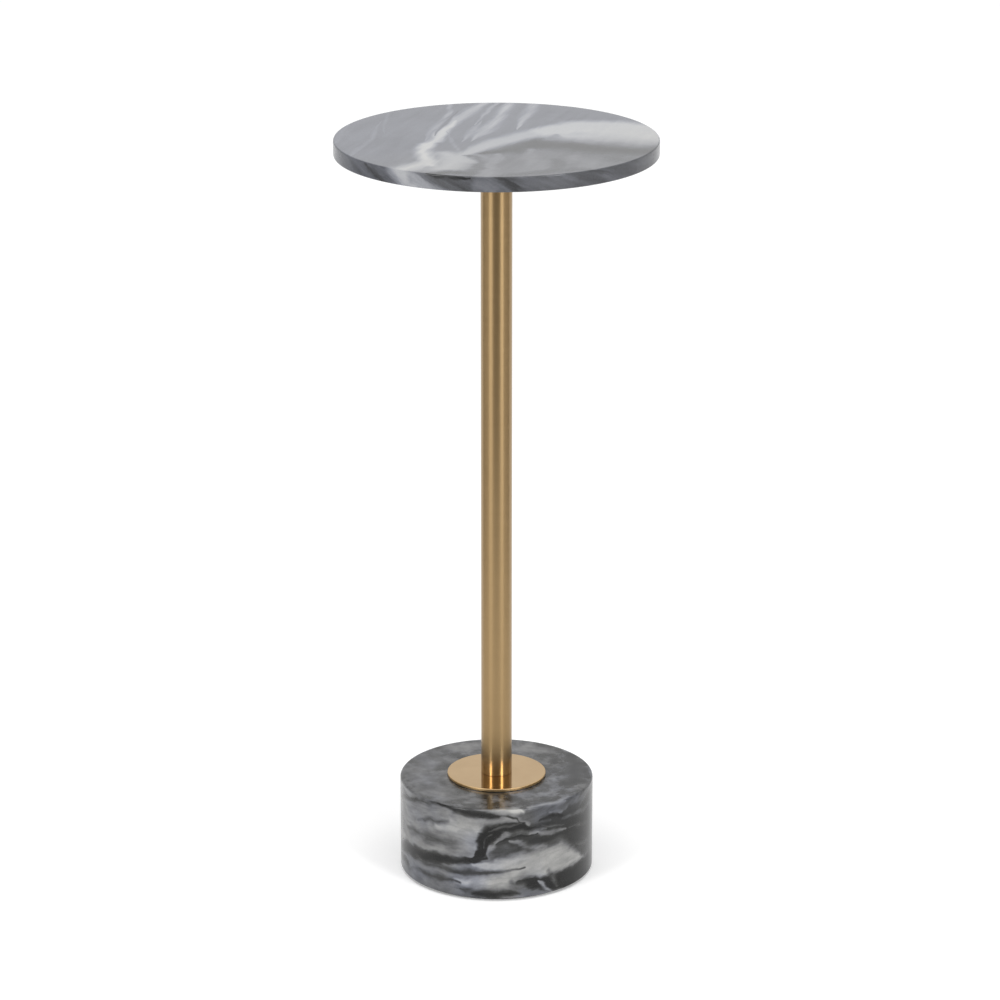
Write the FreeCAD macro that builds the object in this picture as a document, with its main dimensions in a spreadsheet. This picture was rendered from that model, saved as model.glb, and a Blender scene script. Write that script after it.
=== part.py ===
import FreeCAD
import Part
import Sketcher
import os
import re

# Drinks table: a round marble top on a brass tube that stands on a marble drum.
# A steel plate is screwed under the top and carries a countersunk stud. The stud turns into
# a threaded plug in the tube's upper end. A bolt comes up through the drum from a recess in
# its foot, passes the brass flange and pulls a second plug, in the tube's lower end, down on it.
# Millimetres. The origin is on the floor, on the table's axis, with +Z up.

# The size sheet: name, value, what it is.
SIZES = [
    ("table_height", 610, "floor to the top face"),
    ("top_dia", 254, "marble top, across"),
    ("top_thick", 12, "marble top, thickness"),
    ("top_arris", 1, "rounding of the top's two rims"),
    ("plate_dia", 100, "steel plate under the top, across"),
    ("plate_thick", 5, "steel plate, thickness"),
    ("plate_bevel", 1, "bevel of the plate's lower rim"),
    ("screw_count", 4, "screws that hold the plate to the top"),
    ("screw_circle", 76, "circle that the screws stand on, across"),
    ("screw_dia", 5, "screw thread, across"),
    ("screw_head_dia", 9.6, "countersunk screw head, across"),
    ("screw_engagement", 5, "screw thread inside its insert"),
    ("screw_point", 0.6, "bevel on the end of a screw"),
    ("screw_socket", 3, "key socket in a screw's head, across flats"),
    ("screw_socket_depth", 1.6, "key socket in a screw's head, depth"),
    ("insert_dia", 8, "threaded insert in the marble, across"),
    ("insert_length", 7, "threaded insert, length"),
    ("glue_gap", 0.25, "glue round an insert, on every side"),
    ("stud_head_dia", 18, "countersunk stud head, across"),
    ("stud_socket", 6, "key socket in the stud's head, across flats"),
    ("stud_socket_depth", 3.5, "key socket in the stud's head, depth"),
    ("head_land", 0.4, "straight rim of a countersunk head"),
    ("seat_gap", 0.1, "play between a countersunk head and its seat"),
    ("bolt_dia", 10, "thread of the stud and of the base bolt, across"),
    ("bolt_engagement", 18, "stud or bolt thread inside its plug"),
    ("bolt_point", 1.2, "bevel on the end of a thread"),
    ("bolt_hole_gap", 0.5, "play of the bolt in its clearance holes, on the radius"),
    ("thread_gap", 0.1, "play of a thread in its tapped hole, on the radius"),
    ("bolt_head_flats", 16, "hexagon bolt head, across flats"),
    ("bolt_head_height", 6.4, "hexagon bolt head, height"),
    ("tube_dia", 25, "column tube, outside"),
    ("tube_wall", 1.5, "column tube, wall"),
    ("tube_end_bevel", 0.3, "bevel on the tube's two ends"),
    ("plug_length", 26, "threaded plug in a tube end"),
    ("plug_gap", 0.05, "play of a plug in the tube's bore, on the radius"),
    ("plug_bevel", 0.8, "bevels of a plug"),
    ("flange_dia", 80, "brass flange, across"),
    ("flange_thick", 2, "brass flange, thickness"),
    ("flange_arris", 0.5, "rounding of the flange's upper rim"),
    ("gasket_thick", 0.5, "gasket between flange and marble"),
    ("gasket_inset", 1.5, "how far the gasket stays inside the flange's rim"),
    ("drum_dia", 157, "marble drum, across"),
    ("drum_height", 77, "marble drum, height"),
    ("drum_arris", 1.5, "rounding of the drum's two rims"),
    ("recess_dia", 46, "recess in the drum's foot, across"),
    ("recess_depth", 22, "recess in the drum's foot, depth"),
    ("recess_bevel", 1, "bevel of the recess's mouth"),
    ("washer_dia", 40, "broad steel washer and the rubber one over it, across"),
    ("washer_thick", 3, "broad steel washer, thickness"),
    ("cushion_thick", 2, "rubber washer, thickness"),
    ("spring_dia", 18, "split spring washer, across"),
    ("spring_thick", 2.2, "split spring washer, thickness"),
    ("spring_split", 1.6, "split of the spring washer"),
    ("pad_thick", 2, "floor pad under the drum, thickness"),
    ("pad_inset", 4.5, "how far the pad stays inside the drum's rim"),
    ("pad_margin", 3, "how far the pad stays back from the recess"),
    ("pad_arris", 0.4, "rounding of the pad's lower rim"),
]
FROM_SHEET = {name: f"sizes.{name}" for name, value, note in SIZES}

# Two places closer than this are the same place.
SAME_PLACE = 1e-4

# Levels above the floor, from the foot of the drum up.
DRUM_FOOT = "pad_thick"
RECESS_ROOF = f"({DRUM_FOOT} + recess_depth)"
CUSHION_FOOT = f"({RECESS_ROOF} - cushion_thick)"
WASHER_FOOT = f"({CUSHION_FOOT} - washer_thick)"
SPRING_FOOT = f"({WASHER_FOOT} - spring_thick)"
BOLT_FOOT = f"({SPRING_FOOT} - bolt_head_height)"
DRUM_TOP = f"({DRUM_FOOT} + drum_height)"
FLANGE_FOOT = f"({DRUM_TOP} + gasket_thick)"
TUBE_FOOT = f"({FLANGE_FOOT} + flange_thick)"
TOP_FOOT = "(table_height - top_thick)"
TUBE_TOP = f"({TOP_FOOT} - plate_thick)"

# Sizes that follow from the sheet.
BOLT_HOLE_DIA = "(bolt_dia + 2 * bolt_hole_gap)"
TAPPED_DIA = "(bolt_dia + 2 * thread_gap)"
TUBE_BORE = "(tube_dia - 2 * tube_wall)"
PLUG_DIA = f"({TUBE_BORE} - 2 * plug_gap)"
INSERT_HOLE_DIA = "(insert_dia + 2 * glue_gap)"
INSERT_HOLE_DEPTH = "(insert_length + glue_gap)"
SCREW_RADIUS = "(screw_circle / 2)"

doc = FreeCAD.newDocument("drinks_table")


def sized(formula):
    """The formula with every size read from the sheet."""
    return re.sub(r"[a-z_]+", lambda word: FROM_SHEET.get(word[0], word[0]), formula)


def make_size_sheet():
    sheet = doc.addObject("Spreadsheet::Sheet", "sizes")
    for row, (name, value, note) in enumerate(SIZES, start=1):
        sheet.set(f"A{row}", name)
        sheet.set(f"B{row}", str(value))
        sheet.set(f"C{row}", note)
        sheet.setAlias(f"B{row}", name)
    doc.recompute()


def bind(feature, **formulas):
    """Ties properties of a feature to formulas of the sheet."""
    for name, formula in formulas.items():
        feature.setExpression(name, sized(formula))


def new_body(name, level):
    """An empty body for one piece, with its own foot at a level above the floor."""
    body = doc.addObject("PartDesign::Body", name)
    body.Label = name
    body.setExpression("Placement.Base.z", sized(level))
    return body


def origin_feature(body, role):
    return next(feature for feature in body.Origin.OriginFeatures if feature.Role == role)


def new_sketch(body, plane, out="0", height="0"):
    """An empty sketch on one of the body's origin planes, moved out along X and up off the plane."""
    sketch = body.newObject("Sketcher::SketchObject", f"{body.Name}_sketch")
    sketch.AttachmentSupport = [(origin_feature(body, plane), "")]
    sketch.MapMode = "FlatFace"
    sketch.setExpression("AttachmentOffset.Base.x", sized(out))
    sketch.setExpression("AttachmentOffset.Base.z", sized(height))
    return sketch


def start_of(curve):
    """The start of a sketch's curve, as a constraint names it."""
    return curve, 1


def end_of(curve):
    return curve, 2


def centre_of(circle):
    return circle, 3


def origin_of_sketch(x_axis=-1):
    """The origin of a sketch, which is the start of its X axis."""
    return start_of(x_axis)


def constrain(sketch, kind, *where, formula=None):
    """One constraint, driven by a formula where it has a size."""
    first_guess = [1.0] if formula else []
    index = sketch.addConstraint(Sketcher.Constraint(kind, *where, *first_guess))
    if formula:
        sketch.setExpression(f"Constraints[{index}]", sized(formula))


def add_circle(sketch, diameter, construction=False):
    """A circle round the sketch's origin."""
    unit_circle = Part.Circle(FreeCAD.Vector(0, 0, 0), FreeCAD.Vector(0, 0, 1), 1)
    circle = sketch.addGeometry(unit_circle, construction)
    constrain(sketch, "Coincident", *centre_of(circle), *origin_of_sketch())
    constrain(sketch, "Diameter", circle, formula=diameter)
    return circle


def place_point(sketch, point, x, y, x_axis=-1, y_axis=-2):
    """Fixes a point of the sketch by formulas, or on an axis where a formula is plain 0."""
    if x == "0":
        constrain(sketch, "PointOnObject", *point, y_axis)
    else:
        constrain(sketch, "DistanceX", *origin_of_sketch(), *point, formula=x)
    if y == "0":
        constrain(sketch, "PointOnObject", *point, x_axis)
    else:
        constrain(sketch, "DistanceY", *origin_of_sketch(), *point, formula=y)


def add_outline(sketch, corners):
    """A closed outline of straight edges through corners, each an (x, y) pair of formulas."""
    count = len(corners)
    guess = [FreeCAD.Vector(1 + i, 1 + i * i, 0) for i in range(count)]
    edges = [
        sketch.addGeometry(Part.LineSegment(guess[i], guess[(i + 1) % count])) for i in range(count)
    ]
    for i, (x, y) in enumerate(corners):
        constrain(sketch, "Coincident", *end_of(edges[i - 1]), *start_of(edges[i]))
        place_point(sketch, start_of(edges[i]), x, y)


def add_hexagon(sketch, flats):
    """A regular hexagon round the sketch's origin, with two of its flats parallel to X."""
    ring = add_circle(sketch, f"{flats} / cos(30 deg)", construction=True)
    sixth = FreeCAD.Rotation(FreeCAD.Vector(0, 0, 1), 60)
    corners = [FreeCAD.Vector(1, 0, 0)]
    while len(corners) < 6:
        corners.append(sixth.multVec(corners[-1]))
    edges = [sketch.addGeometry(Part.LineSegment(corners[i - 1], corners[i])) for i in range(6)]
    for i, edge in enumerate(edges):
        constrain(sketch, "Coincident", *end_of(edges[i - 1]), *start_of(edge))
        constrain(sketch, "PointOnObject", *start_of(edge), ring)
        if i > 0:
            constrain(sketch, "Equal", edges[0], edge)
    constrain(sketch, "Horizontal", edges[2])


def pad(body, sketch, length):
    feature = body.newObject("PartDesign::Pad", f"{body.Name}_pad")
    feature.Profile = sketch
    bind(feature, Length=length)
    doc.recompute()
    return feature


def pocket(body, sketch, depth, downwards=False):
    """Cuts a level sketch up into the piece, or down into it."""
    feature = body.newObject("PartDesign::Pocket", f"{body.Name}_pocket")
    feature.Profile = sketch
    feature.Reversed = not downwards
    bind(feature, Length=depth)
    doc.recompute()
    return feature


def turn(body, corners, out="0", cut=False):
    """Turns an outline of (radius, height) corners about the Z axis, or about a line out from it."""
    sketch = new_sketch(body, "XZ_Plane", out=out)
    add_outline(sketch, corners)
    kind = "PartDesign::Groove" if cut else "PartDesign::Revolution"
    feature = body.newObject(kind, f"{body.Name}_turned")
    feature.Profile = sketch
    feature.ReferenceAxis = (sketch, ["V_Axis"])
    feature.Angle = 360
    doc.recompute()
    return feature


def repeat(body, features, count):
    """Repeats features evenly about the Z axis."""
    pattern = body.newObject("PartDesign::PolarPattern", f"{body.Name}_pattern")
    pattern.Originals = features
    pattern.Axis = (origin_feature(body, "Z_Axis"), [""])
    pattern.Angle = 360
    bind(pattern, Occurrences=count)
    body.Tip = pattern
    doc.recompute()
    return pattern


def rims(feature, lower=False, upper=False):
    """Names of a round piece's outermost edges, at its foot or its head."""
    box = feature.Shape.BoundBox
    names = []
    for i, edge in enumerate(feature.Shape.Edges, start=1):
        if not isinstance(edge.Curve, Part.Circle):
            continue
        outermost = abs(edge.Curve.Radius - box.XLength / 2) < SAME_PLACE
        at_foot = abs(edge.Curve.Center.z - box.ZMin) < SAME_PLACE
        at_head = abs(edge.Curve.Center.z - box.ZMax) < SAME_PLACE
        if outermost and (lower and at_foot or upper and at_head):
            names.append(f"Edge{i}")
    return names


def round_off(body, feature, edges, radius):
    fillet = body.newObject("PartDesign::Fillet", f"{body.Name}_arris")
    fillet.Base = (feature, edges)
    bind(fillet, Radius=radius)
    doc.recompute()
    return fillet


def bevel(body, feature, edges, size):
    chamfer = body.newObject("PartDesign::Chamfer", f"{body.Name}_bevel")
    chamfer.Base = (feature, edges)
    bind(chamfer, Size=size)
    doc.recompute()
    return chamfer


def make_ring(name, level, outside, inside, thickness):
    """A flat ring, the form of a washer, gasket or pad."""
    body = new_body(name, level)
    sketch = new_sketch(body, "XY_Plane")
    add_circle(sketch, outside)
    add_circle(sketch, inside)
    return body, pad(body, sketch, thickness)


def countersunk_seat(head_dia, thread_dia, height):
    """Outline that cuts a 90 degree countersunk hole through a plate, with the head's seat at the foot."""
    head = f"({head_dia} / 2 + seat_gap)"
    bore = f"({thread_dia} / 2 + bolt_hole_gap)"
    return [
        ("0", "0"),
        (head, "0"),
        (head, "head_land"),
        (bore, f"head_land + {head} - {bore}"),
        (bore, height),
        ("0", height),
    ]


def countersunk_screw(head_dia, thread_dia, length, point):
    """Outline of a screw with a 90 degree countersunk head at its foot."""
    head = f"({head_dia} / 2)"
    shank = f"({thread_dia} / 2)"
    return [
        ("0", "0"),
        (head, "0"),
        (head, "head_land"),
        (shank, f"head_land + {head} - {shank}"),
        (shank, f"{length} - {point}"),
        (f"{shank} - {point}", length),
        ("0", length),
    ]


# The marble top, with blind holes in its underside for the threaded inserts.
def make_marble_top():
    body = new_body("marble_top", TOP_FOOT)
    disc_sketch = new_sketch(body, "XY_Plane")
    add_circle(disc_sketch, "top_dia")
    disc = pad(body, disc_sketch, "top_thick")
    round_off(body, disc, rims(disc, lower=True, upper=True), "top_arris")
    hole_sketch = new_sketch(body, "XY_Plane", out=SCREW_RADIUS)
    add_circle(hole_sketch, INSERT_HOLE_DIA)
    hole = pocket(body, hole_sketch, INSERT_HOLE_DEPTH)
    repeat(body, [hole], "screw_count")


# Brass inserts with an inside thread, glued into the marble.
def make_top_inserts():
    body = new_body("top_inserts", TOP_FOOT)
    body.AllowCompound = True
    sketch = new_sketch(body, "XY_Plane", out=SCREW_RADIUS)
    add_circle(sketch, "insert_dia")
    add_circle(sketch, "screw_dia + 2 * thread_gap")
    sleeve = pad(body, sketch, "insert_length")
    repeat(body, [sleeve], "screw_count")


# The steel plate, with the stud's seat on its upper face and the screws' seats on its lower one.
def make_top_plate():
    body = new_body("top_plate", TUBE_TOP)
    sketch = new_sketch(body, "XY_Plane")
    add_circle(sketch, "plate_dia")
    disc = pad(body, sketch, "plate_thick")
    bevel(body, disc, rims(disc, lower=True), "plate_bevel")
    seat = countersunk_seat("stud_head_dia", "bolt_dia", "plate_thick")
    turn(body, [(radius, f"plate_thick - ({height})") for radius, height in seat], cut=True)
    screw_seat = countersunk_seat("screw_head_dia", "screw_dia", "plate_thick")
    hole = turn(body, screw_seat, out=SCREW_RADIUS, cut=True)
    repeat(body, [hole], "screw_count")


# Countersunk screws with a hexagon socket, turned up through the plate into the inserts.
def make_top_plate_screws():
    body = new_body("top_plate_screws", TUBE_TOP)
    body.AllowCompound = True
    length = "(plate_thick + screw_engagement)"
    outline = countersunk_screw("screw_head_dia", "screw_dia", length, "screw_point")
    screw = turn(body, outline, out=SCREW_RADIUS)
    sketch = new_sketch(body, "XY_Plane", out=SCREW_RADIUS)
    add_hexagon(sketch, "screw_socket")
    socket = pocket(body, sketch, "screw_socket_depth")
    repeat(body, [screw, socket], "screw_count")


# The stud that hangs from the plate: a countersunk bolt with a key socket, head up, flush under the marble.
def make_top_stud():
    length = "(plate_thick + bolt_engagement)"
    body = new_body("top_stud", f"({TOP_FOOT} - {length})")
    outline = countersunk_screw("stud_head_dia", "bolt_dia", length, "bolt_point")
    turn(body, [(radius, f"{length} - ({height})") for radius, height in outline])
    sketch = new_sketch(body, "XY_Plane", height=length)
    add_hexagon(sketch, "stud_socket")
    pocket(body, sketch, "stud_socket_depth", downwards=True)


# The column: a brushed brass tube, with a threaded steel plug fixed in each end.
def make_column_tube():
    body, tube = make_ring("column_tube", TUBE_FOOT, "tube_dia", TUBE_BORE, f"{TUBE_TOP} - {TUBE_FOOT}")
    bevel(body, tube, rims(tube, lower=True, upper=True), "tube_end_bevel")


def make_plug(name, level):
    body = new_body(name, level)
    outside = f"({PLUG_DIA} / 2)"
    inside = f"({TAPPED_DIA} / 2)"
    turn(
        body,
        [
            (f"{inside} + plug_bevel", "0"),
            (f"{outside} - plug_bevel", "0"),
            (outside, "plug_bevel"),
            (outside, "plug_length - plug_bevel"),
            (f"{outside} - plug_bevel", "plug_length"),
            (f"{inside} + plug_bevel", "plug_length"),
            (inside, "plug_length - plug_bevel"),
            (inside, "plug_bevel"),
        ],
    )


# The brass flange that the tube stands on, and the thin gasket that keeps it off the marble.
def make_base_flange():
    body, disc = make_ring("base_flange", FLANGE_FOOT, "flange_dia", BOLT_HOLE_DIA, "flange_thick")
    round_off(body, disc, rims(disc, upper=True), "flange_arris")


def make_flange_gasket():
    make_ring("flange_gasket", DRUM_TOP, "flange_dia - 2 * gasket_inset", BOLT_HOLE_DIA, "gasket_thick")


# The marble drum, bored for the bolt and recessed in its foot for the bolt's head and washers.
def make_marble_drum():
    body = new_body("marble_drum", DRUM_FOOT)
    hole = f"({BOLT_HOLE_DIA} / 2)"
    recess = "(recess_dia / 2)"
    outside = "(drum_dia / 2)"
    drum = turn(
        body,
        [
            (f"{recess} + recess_bevel", "0"),
            (outside, "0"),
            (outside, "drum_height"),
            (hole, "drum_height"),
            (hole, "recess_depth"),
            (recess, "recess_depth"),
            (recess, "recess_bevel"),
        ],
    )
    round_off(body, drum, rims(drum, lower=True, upper=True), "drum_arris")


# The clamp in the drum's recess: rubber washer, steel washer, spring washer, bolt.
def make_clamp_cushion():
    make_ring("clamp_cushion", CUSHION_FOOT, "washer_dia", BOLT_HOLE_DIA, "cushion_thick")


def make_clamp_washer():
    make_ring("clamp_washer", WASHER_FOOT, "washer_dia", BOLT_HOLE_DIA, "washer_thick")


def make_spring_washer():
    body, _ = make_ring("spring_washer", SPRING_FOOT, "spring_dia", BOLT_HOLE_DIA, "spring_thick")
    sketch = new_sketch(body, "XY_Plane")
    inside = f"{BOLT_HOLE_DIA} / 4"
    outside = "spring_dia"
    split = [(inside, "0"), (outside, "0"), (outside, "spring_split"), (inside, "spring_split")]
    add_outline(sketch, split)
    pocket(body, sketch, "spring_thick")


def make_base_bolt():
    body = new_body("base_bolt", BOLT_FOOT)
    head_sketch = new_sketch(body, "XY_Plane")
    add_hexagon(head_sketch, "bolt_head_flats")
    pad(body, head_sketch, "bolt_head_height")
    # The head's lower corners are turned off at 30 degrees.
    flat = "(bolt_head_flats / 2)"
    turn(body, [(flat, "0"), (f"2 * {flat}", "0"), (f"2 * {flat}", f"{flat} * tan(30 deg)")], cut=True)
    shank_sketch = new_sketch(body, "XY_Plane", height="bolt_head_height")
    add_circle(shank_sketch, "bolt_dia")
    shank_length = f"{TUBE_FOOT} + bolt_engagement - {SPRING_FOOT}"
    shank = pad(body, shank_sketch, shank_length)
    tip_level = shank.Shape.BoundBox.ZMax
    tip = [
        f"Edge{i}"
        for i, edge in enumerate(shank.Shape.Edges, start=1)
        if abs(edge.BoundBox.ZMin - tip_level) < SAME_PLACE
    ]
    bevel(body, shank, tip, "bolt_point")


# The rubber floor pad, a ring stuck to the drum's foot round the recess.
def make_floor_pad():
    inside = "recess_dia + 2 * (recess_bevel + pad_margin)"
    body, ring = make_ring("floor_pad", "0", "drum_dia - 2 * pad_inset", inside, "pad_thick")
    round_off(body, ring, rims(ring, lower=True), "pad_arris")


def check_pieces(bodies):
    """Stops with a message if any object failed to build or any piece is not a sound solid."""
    for item in doc.Objects:
        if {"Invalid", "Error"} & set(item.State):
            raise RuntimeError(f"{item.Label} failed: {item.State}")
    for body in bodies:
        if body.Shape.isNull() or not body.Shape.isValid() or not body.Shape.Solids:
            raise RuntimeError(f"{body.Label} has no sound solid")


def write_pieces(bodies):
    os.makedirs("parts", exist_ok=True)
    for body in bodies:
        body.Shape.exportStep(f"parts/{body.Label}.step")
        box = body.Shape.optimalBoundingBox()
        print(
            f"{body.Label:18s} solids {len(body.Shape.Solids)}  volume {body.Shape.Volume:12.1f}"
            f"  z {box.ZMin:8.2f} to {box.ZMax:8.2f}  across {box.XLength:7.2f}"
        )


make_size_sheet()
make_floor_pad()
make_base_bolt()
make_spring_washer()
make_clamp_washer()
make_clamp_cushion()
make_marble_drum()
make_flange_gasket()
make_base_flange()
make_plug("lower_plug", TUBE_FOOT)
make_column_tube()
make_plug("upper_plug", f"({TUBE_TOP} - plug_length)")
make_top_stud()
make_top_plate()
make_top_plate_screws()
make_top_inserts()
make_marble_top()
doc.recompute()

pieces = [item for item in doc.Objects if item.TypeId == "PartDesign::Body"]
check_pieces(pieces)
write_pieces(pieces)
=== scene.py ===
import math
import bpy
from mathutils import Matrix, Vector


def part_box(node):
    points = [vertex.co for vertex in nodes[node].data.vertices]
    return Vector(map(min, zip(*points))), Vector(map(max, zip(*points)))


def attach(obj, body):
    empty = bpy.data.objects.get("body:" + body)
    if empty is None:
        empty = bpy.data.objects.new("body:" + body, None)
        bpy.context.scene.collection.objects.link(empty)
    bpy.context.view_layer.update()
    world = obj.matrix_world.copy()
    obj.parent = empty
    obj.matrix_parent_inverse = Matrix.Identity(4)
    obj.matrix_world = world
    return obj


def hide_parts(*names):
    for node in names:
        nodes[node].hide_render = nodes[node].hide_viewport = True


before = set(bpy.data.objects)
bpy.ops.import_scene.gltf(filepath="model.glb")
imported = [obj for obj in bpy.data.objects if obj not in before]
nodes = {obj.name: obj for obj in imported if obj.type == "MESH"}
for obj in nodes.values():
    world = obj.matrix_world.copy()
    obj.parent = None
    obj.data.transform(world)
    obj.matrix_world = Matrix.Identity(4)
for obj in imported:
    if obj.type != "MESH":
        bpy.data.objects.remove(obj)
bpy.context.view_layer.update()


# The floor pad: a ring of black foam rubber, die cut from sheet and stuck to the drum's foot,
# so that the marble neither scratches the floor nor slides on it. The same sheet cushions the clamp.

MM = 0.001


def linear(hex_colour):
    """An sRGB hex colour as the linear colour that a shader socket takes."""
    channels = [int(hex_colour[i:i + 2], 16) / 255 for i in (1, 3, 5)]
    return [c / 12.92 if c <= 0.04045 else ((c + 0.055) / 1.055) ** 2.4 for c in channels] + [1.0]


def node(tree, kind, inputs=None, stops=(), **settings):
    """Adds a node with its settings, and sets or links its inputs. Stops are for a colour ramp:
    values between 0 and 1, each with its hex colour."""
    made = tree.nodes.new(kind)
    for name, value in settings.items():
        setattr(made, name, value)
    for key, value in (inputs or {}).items():
        if isinstance(value, bpy.types.NodeSocket):
            tree.links.new(value, made.inputs[key])
        else:
            made.inputs[key].default_value = value
    for i, (position, hex_colour) in enumerate(stops):
        elements = made.color_ramp.elements
        if i == len(elements):
            elements.new(1.0)
        elements[i].position = position
        elements[i].color = linear(hex_colour)
    return made


def new_material(name):
    """An empty material, its node tree and the piece's own coordinates in millimetres."""
    material = bpy.data.materials.new(name)
    material.use_nodes = True
    tree = material.node_tree
    tree.nodes.clear()
    place = node(tree, "ShaderNodeTexCoord").outputs["Object"]
    scaled = node(tree, "ShaderNodeVectorMath", {0: place, "Scale": 1 / MM}, operation="SCALE")
    return material, tree, scaled.outputs[0]


def finish_material(tree, **inputs):
    """Ends a material in one surface shader with the given inputs."""
    named = {name.replace("_", " "): value for name, value in inputs.items()}
    shader = node(tree, "ShaderNodeBsdfPrincipled", named)
    node(tree, "ShaderNodeOutputMaterial", {"Surface": shader.outputs[0]})


def dress(piece, material):
    """Gives a piece one material all over."""
    piece.data.materials.clear()
    piece.data.materials.append(material)


def foam_rubber():
    """Closed-cell foam rubber: matt black, with the pebbled skin of the sheet it was cut from."""
    material, tree, place = new_material("black_foam_rubber_sheet")
    pebble_mm = 1.4
    dust_mm = 25
    pebbles = node(tree, "ShaderNodeTexVoronoi", {"Vector": place, "Scale": 1 / pebble_mm})
    dust = node(tree, "ShaderNodeTexNoise", {"Vector": place, "Scale": 1 / dust_mm, "Detail": 5.0})
    bump = node(tree, "ShaderNodeBump", {
        "Height": pebbles.outputs["Distance"], "Strength": 0.4, "Distance": 0.3 * MM,
    })
    colour = node(
        tree, "ShaderNodeValToRGB", {"Fac": dust.outputs["Fac"]}, [(0.3, "#141414"), (0.7, "#262626")],
    ).outputs["Color"]
    finish_material(tree, Base_Color=colour, Roughness=0.85, IOR=1.52, Normal=bump.outputs[0])
    return material


rubber = foam_rubber()
dress(nodes["floor_pad"], rubber)
dress(nodes["clamp_cushion"], rubber)


# The clamp in the drum's foot: a hexagon bolt, a spring washer and a broad washer, forged or stamped
# from steel and zinc plated. The plugs in the tube and the stud in the plate are of the same steel.

def zinc_steel():
    """Zinc-plated steel: pale grey with a cloudy, faintly blue lustre over a fine tooled grain."""
    material, tree, place = new_material("zinc_plated_steel")
    cloud_mm = 6
    tooling_mm = 0.5
    clouds = node(tree, "ShaderNodeTexNoise", {"Vector": place, "Scale": 1 / cloud_mm, "Detail": 4.0})
    tooling = node(tree, "ShaderNodeTexNoise", {"Vector": place, "Scale": 1 / tooling_mm, "Detail": 2.0})
    gloss = node(tree, "ShaderNodeMapRange", {"Value": clouds.outputs["Fac"], "To Min": 0.3, "To Max": 0.45})
    bump = node(tree, "ShaderNodeBump", {
        "Height": tooling.outputs["Fac"], "Strength": 0.15, "Distance": 0.05 * MM,
    })
    colour = node(
        tree, "ShaderNodeValToRGB", {"Fac": clouds.outputs["Fac"]}, [(0.3, "#9EA3A8"), (0.7, "#C4C8CC")],
    ).outputs["Color"]
    finish_material(
        tree,
        Base_Color=colour,
        Metallic=1.0,
        Roughness=gloss.outputs[0],
        Normal=bump.outputs[0],
    )
    return material


steel = zinc_steel()
for name in ("base_bolt", "spring_washer", "clamp_washer", "lower_plug", "upper_plug", "top_stud"):
    dress(nodes[name], steel)


# The drum: one block of grey marble with folded dark and white layers, turned to a cylinder, bored for
# the clamp bolt, recessed in its foot and polished. Its rims are eased so that they don't chip.

def lathe_tree():
    """Geometry nodes that turn an outline of (radius, 0, height) points round the upright axis."""
    seam_mm = 0.001
    tree = bpy.data.node_groups.new("lathe", "GeometryNodeTree")
    for name, kind in (
        ("Outline", "Geometry"), ("Steps", "Int"), ("Sharp angle", "Float"), ("Material", "Material"),
    ):
        tree.interface.new_socket(name, in_out="INPUT", socket_type="NodeSocket" + kind)
    tree.interface.new_socket("Piece", in_out="OUTPUT", socket_type="NodeSocketGeometry")
    given = node(tree, "NodeGroupInput").outputs
    points = node(tree, "GeometryNodeAttributeDomainSize", {0: given["Outline"]}).outputs["Point Count"]
    columns = node(tree, "ShaderNodeMath", {0: given["Steps"], 1: 1.0}, operation="ADD").outputs[0]
    grid = node(tree, "GeometryNodeMeshGrid", {"Vertices X": columns, "Vertices Y": points}).outputs["Mesh"]
    index = node(tree, "GeometryNodeInputIndex").outputs[0]
    row = node(tree, "ShaderNodeMath", {0: index, 1: points}, operation="MODULO").outputs[0]
    turns = node(tree, "ShaderNodeMath", {0: index, 1: points}, operation="DIVIDE").outputs[0]
    column = node(tree, "ShaderNodeMath", {0: turns}, operation="FLOOR").outputs[0]
    share = node(tree, "ShaderNodeMath", {0: column, 1: given["Steps"]}, operation="DIVIDE").outputs[0]
    angle = node(tree, "ShaderNodeMath", {0: share, 1: 2 * math.pi}, operation="MULTIPLY").outputs[0]
    position = node(tree, "GeometryNodeInputPosition").outputs[0]
    on_outline = node(
        tree, "GeometryNodeSampleIndex",
        {"Geometry": given["Outline"], "Value": position, "Index": row}, data_type="FLOAT_VECTOR",
    ).outputs[0]
    swung = node(
        tree, "ShaderNodeVectorRotate", {"Vector": on_outline, "Angle": angle}, rotation_type="Z_AXIS",
    ).outputs[0]
    shell = node(tree, "GeometryNodeSetPosition", {"Geometry": grid, "Position": swung}).outputs[0]
    closed = node(
        tree, "GeometryNodeMergeByDistance", {"Geometry": shell, "Distance": seam_mm * MM},
    ).outputs[0]
    bend = node(tree, "GeometryNodeInputMeshEdgeAngle").outputs["Unsigned Angle"]
    gentle = node(
        tree, "ShaderNodeMath", {0: bend, 1: given["Sharp angle"]}, operation="LESS_THAN",
    ).outputs[0]
    faces = node(tree, "GeometryNodeSetShadeSmooth", {0: closed, "Shade Smooth": True}).outputs[0]
    smooth = node(
        tree, "GeometryNodeSetShadeSmooth", {0: faces, "Shade Smooth": gentle}, domain="EDGE",
    ).outputs[0]
    real = node(tree, "GeometryNodeRealizeInstances", {0: smooth}).outputs[0]
    made_of = node(tree, "GeometryNodeSetMaterial", {0: real, "Material": given["Material"]}).outputs[0]
    node(tree, "NodeGroupOutput", {"Piece": made_of})
    return tree


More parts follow.
